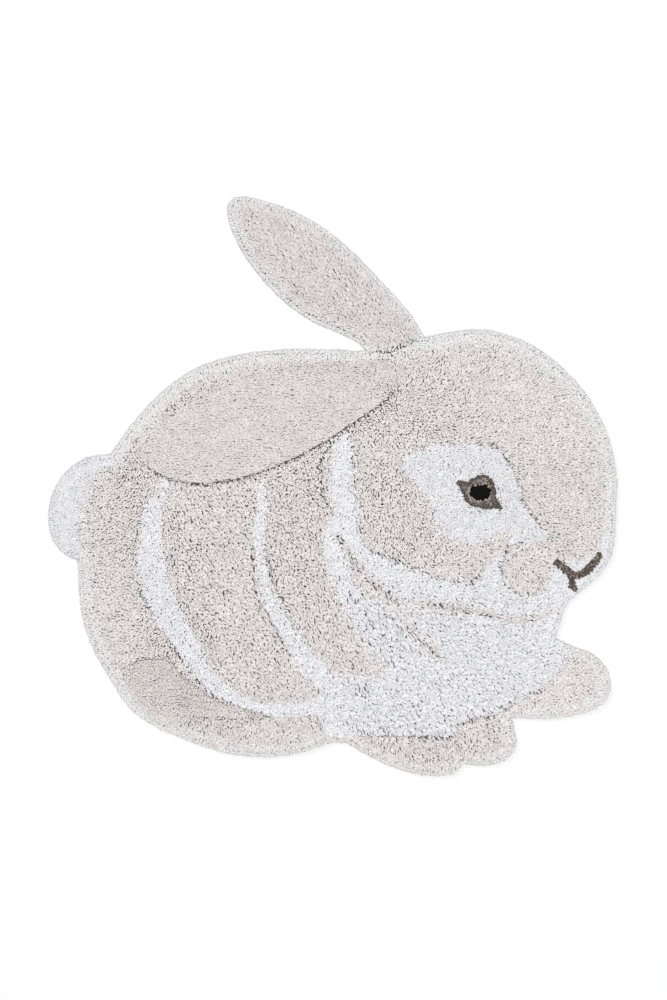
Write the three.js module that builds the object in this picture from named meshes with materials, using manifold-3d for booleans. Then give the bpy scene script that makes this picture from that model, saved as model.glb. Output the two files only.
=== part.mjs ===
// A rabbit shaped rug for a child's room, tufted in one piece and laid flat on the floor.
//
// Millimetres, +Z up. The origin is on the floor, under the middle of the rug's bounding box.
// +X runs towards the rabbit's nose and +Y towards its ears, as seen from above.
//
// The whole rug is one solid: a woven backing with a deep cut pile, drawn as a lumpy slab.
// Its rim is rounded, because the pile falls outwards there, and carries a row of locks.
// Shears have carved a channel along each ear and between the paws, and have cut the pile
// short on the hind foot.

import * as THREE from 'three';
import { mergeVertices } from 'three/addons/utils/BufferGeometryUtils.js';
import Module from 'manifold-3d';

const wasm = await Module();
wasm.setup();

// Driving dimensions

const rugWidth = 1100; // tail to nose
const rugHeight = 1121; // hind foot to the tip of the raised ear
const pileHeight = 21; // floor to the top of the body's pile
const lumpHeight = 1.1; // how far the pile rises and sinks from place to place
const lumpLength = 100; // crest to crest
const moundPitch = 30; // size of the facets on top of the pile
const clippedHeight = 9; // floor to the short pile on the hind foot
const clippedStep = 24; // distance between points round the short pile

const rimTop = 23; // the rim's shoulder ends just above the pile
const rimRound = 8; // how far the shoulder is drawn in
const rimUndercut = 5; // how far the same round would go on below the floor

const lockPitch = 30; // distance between locks round the rim
const lockReach = 4; // how far a lock stands out of the slab
const lockLength = 18;
const lockRoot = 8.5; // from the middle of a lock's three-sided root to a corner
const lockTip = 4; // the same at its cut end
const lockHeight = 12; // floor to the middle of the root

const channelWidth = 9; // a carved channel, at the top of the pile
const channelFloorWidth = 3;
const channelStep = 30; // distance between points along a channel

// The outline, clockwise from the tip of the raised ear, one row for each smooth stretch.
// Two stretches meet in a corner or a notch. step is the distance between points.

const outline = [
  {
    name: 'upper edge of the raised ear',
    step: 30,
    stations: [
      { x: -160, y: 559 }, { x: -95, y: 540 }, { x: -29, y: 507 }, { x: 33, y: 458 },
      { x: 100, y: 389 }, { x: 148, y: 336 }, { x: 178, y: 288 },
    ],
  },
  {
    name: 'head, from the crown round the nose to the chin',
    step: 30,
    stations: [
      { x: 178, y: 288 }, { x: 232, y: 299 }, { x: 294, y: 303 }, { x: 361, y: 285 },
      { x: 430, y: 242 }, { x: 492, y: 175 }, { x: 531, y: 100 }, { x: 549, y: 22 },
      { x: 547, y: -42 }, { x: 545, y: -103 }, { x: 534, y: -146 }, { x: 508, y: -178 },
      { x: 454, y: -223 },
    ],
  },
  {
    name: 'throat',
    step: 26,
    stations: [{ x: 454, y: -223 }, { x: 444, y: -248 }, { x: 430, y: -294 }],
  },
  {
    name: 'outstretched front paw',
    step: 24,
    stations: [
      { x: 430, y: -294 }, { x: 467, y: -310 }, { x: 505, y: -325 }, { x: 529, y: -351 },
      { x: 538, y: -385 }, { x: 526, y: -418 }, { x: 486, y: -438 }, { x: 419, y: -449 },
      { x: 343, y: -446 },
    ],
  },
  {
    name: 'round front paw',
    step: 18,
    stations: [
      { x: 343, y: -446 }, { x: 352, y: -476 }, { x: 354, y: -505 }, { x: 337, y: -527 },
      { x: 303, y: -539 }, { x: 252, y: -537 },
    ],
  },
  {
    name: 'long hind foot',
    step: 24,
    stations: [
      { x: 252, y: -537 }, { x: 240, y: -553 }, { x: 214, y: -560 }, { x: 168, y: -557 },
      { x: 100, y: -536 }, { x: 56, y: -513 }, { x: 25, y: -495 }, { x: 0, y: -494 },
    ],
  },
  {
    name: 'haunch, from the foot up to the tail',
    step: 32,
    stations: [
      { x: 0, y: -494 }, { x: -64, y: -515 }, { x: -137, y: -523 }, { x: -208, y: -515 },
      { x: -295, y: -485 }, { x: -379, y: -441 }, { x: -430, y: -373 }, { x: -469, y: -302 },
      { x: -488, y: -229 }, { x: -492, y: -142 },
    ],
  },
  {
    name: 'tail',
    step: 22,
    stations: [
      { x: -492, y: -142 }, { x: -518, y: -132 }, { x: -541, y: -103 }, { x: -550, y: -55 },
      { x: -541, y: -13 }, { x: -513, y: 30 }, { x: -474, y: 56 }, { x: -429, y: 62 },
    ],
  },
  {
    name: 'back',
    step: 32,
    stations: [
      { x: -429, y: 62 }, { x: -382, y: 128 }, { x: -324, y: 188 }, { x: -257, y: 232 },
      { x: -179, y: 255 }, { x: -83, y: 265 }, { x: 14, y: 264 }, { x: 64, y: 263 },
    ],
  },
  {
    name: 'lower edge of the raised ear',
    step: 30,
    stations: [
      { x: 64, y: 263 }, { x: 23, y: 292 }, { x: -35, y: 316 }, { x: -93, y: 356 },
      { x: -151, y: 418 }, { x: -185, y: 470 }, { x: -202, y: 515 },
    ],
  },
  {
    name: 'tip of the raised ear',
    step: 12,
    stations: [
      { x: -202, y: 515 }, { x: -204, y: 538 }, { x: -197, y: 553 }, { x: -184, y: 560 },
      { x: -160, y: 559 },
    ],
  },
];

// Each ear stands a little proud of the pile beside it, over a long oval. tilt is in degrees.

const ears = [
  { name: 'laid ear', x: -114, y: 144, halfLength: 272, halfWidth: 78, tilt: 18.8, rise: 2 },
  { name: 'raised ear', x: -40, y: 414, halfLength: 214, halfWidth: 64, tilt: -41, rise: 1 },
];

// Carved channels. z is the height of the channel's bottom above the floor: a channel fades
// out where its bottom rises to the top of the pile.

const channels = [
  {
    name: 'under the laid ear',
    stations: [
      { x: -388, y: 66, z: 22 }, { x: -359, y: 34, z: 13 }, { x: -299, y: 9, z: 11 },
      { x: -257, y: 4, z: 11 }, { x: -172, y: 16, z: 11 }, { x: -79, y: 51, z: 11 },
      { x: -4, y: 92, z: 12 }, { x: 58, y: 134, z: 15 }, { x: 127, y: 190, z: 24 },
    ],
  },
  {
    name: 'root of the raised ear',
    stations: [
      { x: 50, y: 286, z: 12 }, { x: 76, y: 266, z: 12 }, { x: 98, y: 257, z: 12 },
      { x: 129, y: 270, z: 12 }, { x: 160, y: 284, z: 12 }, { x: 196, y: 302, z: 12 },
    ],
  },
  {
    name: 'front of the haunch',
    stations: [
      { x: -44, y: -436, z: 22 }, { x: -26, y: -452, z: 14 }, { x: -20, y: -472, z: 13 },
      { x: -14, y: -506, z: 12 },
    ],
  },
  {
    name: 'top of the long hind foot',
    stations: [
      { x: -16, y: -478, z: 20 }, { x: 60, y: -484, z: 15 }, { x: 150, y: -484, z: 15 },
      { x: 226, y: -486, z: 14 }, { x: 246, y: -518, z: 12 }, { x: 250, y: -556, z: 10 },
    ],
  },
  {
    name: 'top of the round front paw',
    stations: [
      { x: 232, y: -484, z: 15 }, { x: 246, y: -462, z: 14 }, { x: 282, y: -448, z: 14 },
      { x: 324, y: -444, z: 13 }, { x: 364, y: -448, z: 12 },
    ],
  },
  {
    name: 'root of the outstretched front paw',
    stations: [
      { x: 442, y: -286, z: 12 }, { x: 450, y: -332, z: 13 }, { x: 434, y: -366, z: 14 },
      { x: 394, y: -398, z: 14 }, { x: 350, y: -424, z: 14 }, { x: 310, y: -444, z: 15 },
    ],
  },
  {
    name: 'cheek',
    stations: [
      { x: 70, y: -124, z: 22 }, { x: 108, y: -138, z: 16 }, { x: 150, y: -154, z: 16 },
      { x: 196, y: -166, z: 22 },
    ],
  },
];

// The short pile on the hind foot, from its top left corner round to its point and back.

const clippedPatch = [
  { x: -392, y: -342 }, { x: -352, y: -331 }, { x: -318, y: -334 }, { x: -292, y: -364 },
  { x: -248, y: -400 }, { x: -190, y: -424 }, { x: -116, y: -444 }, { x: -200, y: -448 },
  { x: -272, y: -446 }, { x: -300, y: -464 }, { x: -346, y: -448 }, { x: -380, y: -412 },
  { x: -400, y: -374 },
];

// Curves

function curveThrough(stations, closed = false) {
  const points = stations.map(({ x, y, z = 0 }) => new THREE.Vector3(x, y, z));
  return new THREE.CatmullRomCurve3(points, closed, 'centripetal');
}

function spacedPoints(curve, step) {
  return curve.getSpacedPoints(Math.round(curve.getLength() / step));
}

// The last point of a stretch is the first of the next one, so it is left out.

function rimPoints() {
  return outline.flatMap(({ stations, step }) => (
    spacedPoints(curveThrough(stations), step).slice(0, -1)
  ));
}

function shapeThrough(points) {
  return new THREE.Shape(points.map(({ x, y }) => new THREE.Vector2(x, y)));
}

// Solids

function toSolid(geometry) {
  geometry.deleteAttribute('normal');
  geometry.deleteAttribute('uv');
  const merged = mergeVertices(geometry, 1e-3);
  return new wasm.Manifold(new wasm.Mesh({
    numProp: 3,
    vertProperties: new Float32Array(merged.attributes.position.array),
    triVerts: new Uint32Array(merged.index.array),
  }));
}

function toGeometry(solid) {
  const { vertProperties, triVerts } = solid.getMesh();
  const geometry = new THREE.BufferGeometry();
  geometry.setAttribute('position', new THREE.BufferAttribute(new Float32Array(vertProperties), 3));
  geometry.setIndex(new THREE.BufferAttribute(new Uint32Array(triVerts), 1));
  geometry.computeVertexNormals();
  return geometry;
}

// The rabbit's outline with a rounded rim: widest halfway up, drawn in at the top and where
// it meets the floor.

function roundedBlank() {
  const rimWaist = 2;
  const roundHeight = (rimTop + rimUndercut - rimWaist) / 2;
  const geometry = new THREE.ExtrudeGeometry(shapeThrough(rimPoints()), {
    depth: rimWaist,
    bevelThickness: roundHeight,
    bevelSize: rimRound,
    bevelOffset: -rimRound - lockReach,
    bevelSegments: 2,
  });
  geometry.translate(0, 0, roundHeight - rimUndercut);
  return toSolid(geometry);
}

// How far inside an ear's oval a point lies: 1 near its midline, 0 from its edge outwards.

function insideEar(ear, x, y) {
  const turn = THREE.MathUtils.degToRad(ear.tilt);
  const along = (x - ear.x) * Math.cos(turn) + (y - ear.y) * Math.sin(turn);
  const across = (y - ear.y) * Math.cos(turn) - (x - ear.x) * Math.sin(turn);
  const distance = Math.hypot(along / ear.halfLength, across / ear.halfWidth);
  return 1 - THREE.MathUtils.smoothstep(distance, 0.75, 1);
}

// The top of the pile: gentle mounds that cross each other on slanted waves, longer swells
// under them, and the two ears.

function pileTop(x, y) {
  const wave = (2 * Math.PI) / lumpLength;
  const mounds = Math.sin(wave * (x + 0.35 * y)) * Math.cos(wave * (0.9 * y - 0.25 * x));
  const swells = Math.sin(0.37 * wave * (x - y) + 1) * Math.sin(0.31 * wave * (x + y));
  const rise = ears.reduce((sum, ear) => sum + ear.rise * insideEar(ear, x, y), 0);
  return pileHeight + lumpHeight * (0.6 * mounds + 0.4 * swells) + rise;
}

// A block that reaches past the outline all round, with the top of the pile as its upper face.

function pileBlock() {
  const margin = 20;
  const width = rugWidth + 2 * margin;
  const height = rugHeight + 2 * margin;
  const depth = 4 * pileHeight;
  const columns = Math.round(width / moundPitch);
  const rows = Math.round(height / moundPitch);
  const geometry = new THREE.BoxGeometry(width, height, depth, columns, rows, 1);
  const position = geometry.attributes.position;
  for (let i = 0; i < position.count; i += 1) {
    if (position.getZ(i) > 0) {
      position.setZ(i, pileTop(position.getX(i), position.getY(i)));
    }
  }
  return toSolid(geometry);
}

// Everything above the floor.

function aboveFloor() {
  const side = 2 * rugHeight;
  const geometry = new THREE.BoxGeometry(side, side, side);
  geometry.translate(0, 0, side / 2);
  return toSolid(geometry);
}

// A channel is cut by a wedge drawn along its line, tall enough to come out above the pile.
// A section's x points down and its y to the side when it is carried along a level line.

function channelCutter({ stations }) {
  const curve = curveThrough(stations);
  const rise = 1.2 * pileHeight;
  const halfFloor = channelFloorWidth / 2;
  const halfTop = halfFloor + ((channelWidth - channelFloorWidth) * rise) / pileHeight;
  const section = new THREE.Shape([
    new THREE.Vector2(0, -halfFloor),
    new THREE.Vector2(0, halfFloor),
    new THREE.Vector2(-rise, halfTop),
    new THREE.Vector2(-rise, -halfTop),
  ]);
  const geometry = new THREE.ExtrudeGeometry(section, {
    steps: Math.round(curve.getLength() / channelStep),
    extrudePath: curve,
  });
  return toSolid(geometry);
}

function clippedPatchCutter() {
  const points = spacedPoints(curveThrough(clippedPatch, true), clippedStep).slice(0, -1);
  const geometry = new THREE.ExtrudeGeometry(shapeThrough(points), {
    depth: 2 * pileHeight,
    bevelEnabled: false,
  });
  geometry.translate(0, 0, clippedHeight);
  return toSolid(geometry);
}

// A lock is a three-sided taper that lies outwards over the rim and a little to one side,
// with its tip lower than its root. Sine waves of its index, out of step with each other,
// make each one's length, droop and sway a little different.

function rimLock(rimPoint, outward, index) {
  const length = lockLength * (1 + 0.1 * Math.sin(2.3 * index));
  const droop = 0.2 + 0.08 * Math.sin(1.7 * index);
  const sway = 0.35 * Math.sin(2.9 * index + 1);
  const heading = Math.atan2(outward.y, outward.x) + sway;
  const direction = new THREE.Vector3(
    Math.cos(heading) * Math.cos(droop),
    Math.sin(heading) * Math.cos(droop),
    -Math.sin(droop),
  );
  const turn = new THREE.Quaternion().setFromUnitVectors(new THREE.Vector3(0, 1, 0), direction);
  const geometry = new THREE.CylinderGeometry(lockTip, lockRoot, length, 3, 1);
  geometry.applyQuaternion(turn);
  const middle = rimPoint.clone().addScaledVector(direction, -length / 2);
  geometry.translate(middle.x, middle.y, lockHeight - (length / 2) * Math.sin(droop));
  return toSolid(geometry);
}

function rimLocks() {
  const locks = [];
  for (const { stations } of outline) {
    const curve = curveThrough(stations);
    const count = Math.round(curve.getLength() / lockPitch);
    for (let i = 0; i < count; i += 1) {
      const place = (i + 0.5) / count;
      const tangent = curve.getTangentAt(place);
      const outward = new THREE.Vector3(-tangent.y, tangent.x, 0);
      locks.push(rimLock(curve.getPointAt(place), outward, locks.length));
    }
  }
  return locks;
}

function tuftedRug() {
  let solid = roundedBlank().intersect(pileBlock()).intersect(aboveFloor());
  for (const lock of rimLocks()) {
    solid = solid.add(lock);
  }
  for (const channel of channels) {
    solid = solid.subtract(channelCutter(channel));
  }
  return solid.subtract(clippedPatchCutter());
}

const cotton = new THREE.MeshStandardMaterial({ color: 0xd8d3ce, roughness: 0.95, metalness: 0 });

const rug = new THREE.Mesh(toGeometry(tuftedRug()), cotton);
rug.name = 'rug';

const part = new THREE.Group();
part.add(rug);

export default part;
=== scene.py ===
# %% [markdown]
# # A tufted rug in the shape of a rabbit
#
# The real rug is one piece. A maker stretches a cotton cloth, shoots thousands of yarn tufts
# through it, cuts them level, and then carves and combs the pile. This script makes it in the
# same order: first the cloth, then the yarns one by one, then their colours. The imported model
# gives the outline and the height of the pile everywhere, so nothing here has to be fitted.

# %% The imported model
import math

import bmesh
import bpy
import numpy as np
from mathutils import Matrix, Vector, kdtree, noise
from mathutils.bvhtree import BVHTree


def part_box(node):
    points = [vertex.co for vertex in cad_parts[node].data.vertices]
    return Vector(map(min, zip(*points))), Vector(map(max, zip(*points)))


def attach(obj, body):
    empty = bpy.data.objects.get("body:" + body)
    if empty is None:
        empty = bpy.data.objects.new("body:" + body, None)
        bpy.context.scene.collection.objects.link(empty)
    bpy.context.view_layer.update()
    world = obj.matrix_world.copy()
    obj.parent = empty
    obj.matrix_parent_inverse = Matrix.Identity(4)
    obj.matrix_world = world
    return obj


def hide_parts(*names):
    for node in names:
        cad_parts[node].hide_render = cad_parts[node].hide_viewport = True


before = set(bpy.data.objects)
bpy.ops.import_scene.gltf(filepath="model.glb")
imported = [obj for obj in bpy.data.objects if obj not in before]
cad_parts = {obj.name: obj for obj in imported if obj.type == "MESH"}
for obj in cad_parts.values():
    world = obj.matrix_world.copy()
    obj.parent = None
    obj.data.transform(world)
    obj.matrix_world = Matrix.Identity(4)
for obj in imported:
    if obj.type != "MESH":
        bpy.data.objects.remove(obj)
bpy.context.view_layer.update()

rug_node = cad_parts["rug"]

# %% [markdown]
# Blender works in metres, but a rug maker's sizes are easier to read in millimetres. Every
# table below is in millimetres, and `MM` turns them into metres where they are used. One
# seeded generator gives all the unevenness, so each run makes the same rug.

# %% Units and chance
MM = 0.001
SEED = 11
chance = np.random.default_rng(SEED)
print("a millimetre is", MM, "m, and the seed is", SEED)

# %% [markdown]
# ## The backing cloth
#
# The cloth is hidden by the pile from above, but shows from below and in the deepest gaps. It
# could be drawn again from an outline. It is surer to slice it off the bottom of the packed
# model, because then it lies exactly under the pile. The slice is a copy with its doubled
# points merged, cut by a level plane and capped.

# %% The backing cloth
CLOTH_THICKNESS = 2.2
DOUBLED = 1e-5  # points closer than this, in metres, are one point


def slice_of_rug(name, height):
    work = bmesh.new()
    work.from_mesh(rug_node.data)
    bmesh.ops.remove_doubles(work, verts=work.verts, dist=DOUBLED)
    cut = bmesh.ops.bisect_plane(
        work,
        geom=work.verts[:] + work.edges[:] + work.faces[:],
        dist=1e-6,
        plane_co=(0, 0, height * MM),
        plane_no=(0, 0, 1),
        clear_outer=True,
    )
    edges = [part for part in cut["geom_cut"] if isinstance(part, bmesh.types.BMEdge)]
    bmesh.ops.triangle_fill(work, edges=edges, use_beauty=True)
    bmesh.ops.recalc_face_normals(work, faces=work.faces)
    mesh = bpy.data.meshes.new(name)
    work.to_mesh(mesh)
    work.free()
    piece = bpy.data.objects.new(name, mesh)
    bpy.context.scene.collection.objects.link(piece)
    return piece


backing = slice_of_rug("backing", CLOTH_THICKNESS)
print("backing:", len(backing.data.polygons), "faces")

# %% [markdown]
# ## The rim as a line
#
# Yarns near the rim fall outwards, so each one has to know how far the rim is and which way it
# lies. The edge of the cloth's flat underside is that rim. Its edges are chained into one loop,
# which runs against the clock as seen from above. The edges of a mesh come in no order, so
# each one is looked up by the point where it starts.

# %% The rim as a line
FACES_DOWN = -0.99  # a face whose normal has less z than this is part of the underside


def edge_loop(piece):
    work = bmesh.new()
    work.from_mesh(piece.data)
    work.normal_update()
    level = {face.index for face in work.faces if face.normal.z < FACES_DOWN}
    follows = {}
    for face in work.faces:
        if face.index not in level:
            continue
        for loop in face.loops:
            if not any(f.index in level for f in loop.edge.link_faces if f is not face):
                follows[loop.link_loop_next.vert.index] = loop.vert.index
    start = next(iter(follows))
    chain = [start]
    while follows[chain[-1]] != start:
        chain.append(follows[chain[-1]])
    work.verts.ensure_lookup_table()
    points = np.array([work.verts[i].co.xy for i in chain]) / MM
    work.free()
    return points


def area_of(loop):
    x, y = loop.T
    return (x * np.roll(y, -1) - np.roll(x, -1) * y).sum() / 2


rim = edge_loop(backing)
print("rim:", len(rim), "points,", round(area_of(rim) * 1e-6, 3), "square metres inside")

# %% [markdown]
# Four small tools serve every chart. `smooth` draws a rounded line through a few stations,
# `inside` says which points a closed line holds, `nearest` gives the distance from many points
# to a line, with the place along it, and `ease` goes gently from 0 to 1. Blender's curves could
# answer for one point at a time. numpy answers for all yarns at once.

# %% Lines, insides and distances


def smooth(stations, closed=False, steps=6):
    rows = np.array(stations, float)
    if closed:
        rows = np.vstack([rows[-1:], rows, rows[:2]])
    else:
        rows = np.vstack([2 * rows[:1] - rows[1:2], rows, 2 * rows[-1:] - rows[-2:-1]])
    t = np.linspace(0, 1, steps, endpoint=False)[:, None]
    line = []
    for a, b, c, d in zip(rows, rows[1:], rows[2:], rows[3:]):
        bend = 2 * a - 5 * b + 4 * c - d
        line.append(b + 0.5 * t * (c - a + t * (bend + t * (3 * (b - c) + d - a))))
    if not closed:
        line.append(rows[-2:-1])
    return np.vstack(line)


def inside(points, loop):
    x, y = points.T
    held = np.zeros(len(points), bool)
    for (ax, ay), (bx, by) in zip(loop, np.roll(loop, -1, axis=0)):
        if ay != by:
            spans = (ay > y) != (by > y)
            held ^= spans & (x < ax + (y - ay) * (bx - ax) / (by - ay))
    return held


def nearest(points, line, closed=False):
    starts = line if closed else line[:-1]
    ends = np.roll(line, -1, axis=0) if closed else line[1:]
    best = np.full(len(points), np.inf)
    place = np.zeros(len(points))
    for i, (a, b) in enumerate(zip(starts[:, :2], ends[:, :2])):
        t = np.clip((points - a) @ ((b - a) / max(1e-9, ((b - a) ** 2).sum())), 0, 0.999)
        gap = ((points - a - t[:, None] * (b - a)) ** 2).sum(axis=1)
        closer = gap < best
        best = np.where(closer, gap, best)
        place = np.where(closer, i + t, place)
    return np.sqrt(best), place


def ease(value, low, high):
    t = np.clip((value - low) / (high - low), 0, 1)
    return t * t * (3 - 2 * t)


# %% [markdown]
# ## The height of the pile
#
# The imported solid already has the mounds, the carved channels, the proud ears and the clipped
# foot. Rays dropped on it every few millimetres make a chart of heights, and each yarn reads
# its own height from the chart. Where a ray misses, the chart holds the height of the rim.

# %% The height of the pile
RAY_STEP = 3.0
RAY_START = 0.1  # metres, well above the pile
RIM_HEIGHT = 8.0
CHART_MARGIN = 12.0
rug_tree = BVHTree.FromPolygons(
    [v.co for v in rug_node.data.vertices], [p.vertices for p in rug_node.data.polygons]
)
rug_low, rug_high = (np.array(corner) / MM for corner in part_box("rug"))
chart_corner = rug_low[:2] - CHART_MARGIN
chart_far = rug_high[:2] + CHART_MARGIN
chart_size = np.ceil((chart_far - chart_corner) / RAY_STEP).astype(int) + 1


def dropped_ray(column, row):
    x, y = chart_corner + RAY_STEP * np.array([column, row])
    hit = rug_tree.ray_cast(Vector((x * MM, y * MM, RAY_START)), Vector((0, 0, -1)))[0]
    return RIM_HEIGHT if hit is None else hit.z / MM


heights = np.array(
    [[dropped_ray(i, j) for i in range(chart_size[0])] for j in range(chart_size[1])]
)
print("heights:", heights.shape, "from", heights.min().round(1), "to", heights.max().round(1))


def pile_height(points):
    last_cell = chart_size - 1.001
    place = np.clip((points - chart_corner) / RAY_STEP, 0, last_cell)
    i, j = place.astype(int).T
    s, t = (place - place.astype(int)).T
    near = heights[j, i] * (1 - s) + heights[j, i + 1] * s
    far = heights[j + 1, i] * (1 - s) + heights[j + 1, i + 1] * s
    return near * (1 - t) + far * t


# %% [markdown]
# ## The chart of colours
#
# The maker draws the chart on the cloth and fills each field with its own yarn. A field is
# either a patch, closed and rounded, or a stroke, a line with a half-width at each station.
# A few stations are enough, because `smooth` rounds them. The fields are those
# of a wild rabbit's coat: pale belly, chest, eye ring and tail on a grey body.

# %% The white fields
FRONT = [
    (8, 100), (35, 100), (44, 40), (44, -30), (48, -65), (58, -100), (79, -128), (120, -146),
    (160, -160), (207, -174), (250, -182), (286, -172), (250, -120), (228, -101), (200, -72),
    (189, -34), (165, 2), (137, 34), (141, 61), (172, 73), (210, 79), (259, 80), (313, 75),
    (332, 52), (349, 26), (362, -14), (372, -45), (390, -68), (412, -92), (402, -116),
    (412, -130), (438, -143), (475, -146), (505, -130), (522, -100), (560, -100), (580, -180),
    (500, -240), (462, -262), (446, -300), (450, -335), (438, -360), (411, -381), (380, -404),
    (351, -424), (315, -438), (264, -447), (244, -460), (236, -480), (210, -483), (120, -481),
    (40, -480), (-14, -478), (-22, -455), (-46, -440), (-110, -444), (-130, -432), (-100, -420),
    (-40, -412), (-20, -392), (-6, -372), (20, -364), (70, -368), (110, -362), (91, -337),
    (62, -306), (37, -266), (8, -204), (-10, -161), (-17, -111), (-14, -78), (2, -50),
    (-6, -3), (-2, 50),
]
TAIL = [
    (-427, 80), (-430, 40), (-455, 18), (-469, -5), (-477, -28), (-481, -57), (-486, -88),
    (-490, -134), (-500, -170), (-580, -160), (-600, -40), (-540, 80),
]
FLANK_CRESCENT = [
    (-322, 12, 4), (-333, -16, 9), (-347, -49, 17), (-352, -113, 22), (-344, -190, 27),
    (-319, -245, 25), (-280, -310, 19), (-259, -347, 17), (-234, -377, 16), (-195, -410, 15),
    (-137, -429, 11), (-83, -428, 12), (-30, -430, 14),
]
SIDE_CRESCENT = [
    (-139, 11, 5), (-139, -18, 8), (-138, -45, 9), (-145, -99, 8), (-137, -152, 10),
    (-126, -215, 12), (-100, -262, 14), (-79, -298, 17), (-58, -331, 18), (-25, -365, 22),
]
print("stations of the front:", len(FRONT), "and of the tail:", len(TAIL))

# %% [markdown]
# Four grey fields lie over the white: the muzzle, the tip of the cheek and two streaks in the
# ruff. They could be holes in the outline of the white. Laid over it, each stays one simple
# line that can be moved by itself.

# %% The grey fields over the white
MUZZLE = [
    (326, -161), (330, -136), (346, -116), (376, -107), (404, -112), (420, -130), (424, -158),
    (416, -188), (396, -206), (372, -212), (346, -202), (331, -182),
]
CHEEK_TIP = [
    (190, -110), (228, -101), (270, -110), (318, -91), (345, -85), (345, -94), (330, -124),
    (301, -148), (286, -172), (230, -170),
]
RUFF_STREAK = [
    (12, -96, 6), (34, -140, 10), (62, -184, 20), (98, -208, 18), (128, -244, 10),
    (162, -286, 9), (196, -322, 7), (214, -342, 3),
]
JAW_STREAK = [
    (128, -220, 4), (168, -228, 7), (216, -234, 12), (262, -240, 11), (310, -248, 8),
    (344, -258, 8), (380, -254, 6), (440, -238, 4),
]
print("stations of the grey fields:", len(MUZZLE + CHEEK_TIP + RUFF_STREAK + JAW_STREAK))

# %% [markdown]
# The eye is a dark patch with a round pupil, and the mouth is three short strokes that meet
# below the nose. Both are only a few tufts wide, so their stations stand closer together.

# %% The eye and the mouth
EYE = [
    (237, 7), (243, 11), (254, 11), (259, 8), (266, 14), (277, 20), (291, 23), (301, 18),
    (308, 9), (312, -3), (315, -24), (324, -39), (321, -45), (310, -42), (295, -44), (277, -40),
    (265, -37), (255, -27), (250, -14), (242, 0),
]
PUPIL = (283, -11, 20.5, 15.5)  # middle and half-widths
MOUTH = [
    [(432, -146, 7), (445, -157, 7.5), (461, -172, 7)],
    [(460, -173, 7), (480, -167, 7.5), (497, -154, 7.5), (512, -134, 6.5)],
    [(461, -173, 6), (461, -184, 6), (462, -193, 7)],
]
print("strokes of the mouth:", len(MOUTH))

# %% [markdown]
# The two ears and the clipped foot are not colours but cuts: their yarn is finer, or shorn
# short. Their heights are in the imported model. Their lines are drawn here too, because the
# spacing and the thickness of the yarns change on the same lines.

# %% Fields that are cut differently
LAID_EAR = [
    (134, 236), (60, 243), (-30, 236), (-106, 222), (-172, 208), (-222, 184), (-270, 162),
    (-312, 130), (-346, 98), (-364, 62), (-352, 34), (-299, 12), (-257, 7), (-172, 19),
    (-79, 54), (-4, 95), (58, 137), (122, 186),
]
RAISED_EAR = [
    (64, 270), (92, 262), (120, 268), (176, 292), (210, 330), (120, 420), (0, 520), (-120, 600),
    (-240, 590), (-240, 480), (-140, 360), (-20, 280),
]
CLIPPED_FOOT = [
    (-392, -342), (-352, -331), (-318, -334), (-292, -364), (-248, -400), (-190, -424),
    (-116, -444), (-200, -448), (-272, -446), (-300, -464), (-346, -448), (-380, -412),
    (-400, -374),
]
print("stations of the ears:", len(LAID_EAR), "and", len(RAISED_EAR))

# %% [markdown]
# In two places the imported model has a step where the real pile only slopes: the outer border
# of the clipped foot, and the upper edge of the laid ear. A soft edge is a line with a height,
# and the pile near it is let grow up to that height.

# %% Soft edges
SOFT_EDGES = [
    # the line, the pile's height on it, how far the slope reaches
    ([(-392, -342), (-398, -358), (-411, -389), (-372, -435), (-334, -458), (-290, -470)], 19, 45),
    ([(-350, 98), (-310, 134), (-268, 166), (-220, 188), (-172, 211), (-106, 225), (-30, 239),
      (60, 246), (95, 249), (124, 245), (140, 230), (142, 208), (128, 190)], 21, 16),
]
SOFT_CORE = 5  # up to this distance from the line, the pile has the line's full height
print("soft edges:", len(SOFT_EDGES))

# %% [markdown]
# The maker runs the shears along many of the borders and leaves a narrow carved line. A Boolean
# could cut such lines into the finished pile, but it would slice through yarns. Here they are
# strokes of the chart too, and a yarn whose root lies in one is cut short, as by the shears.

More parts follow.
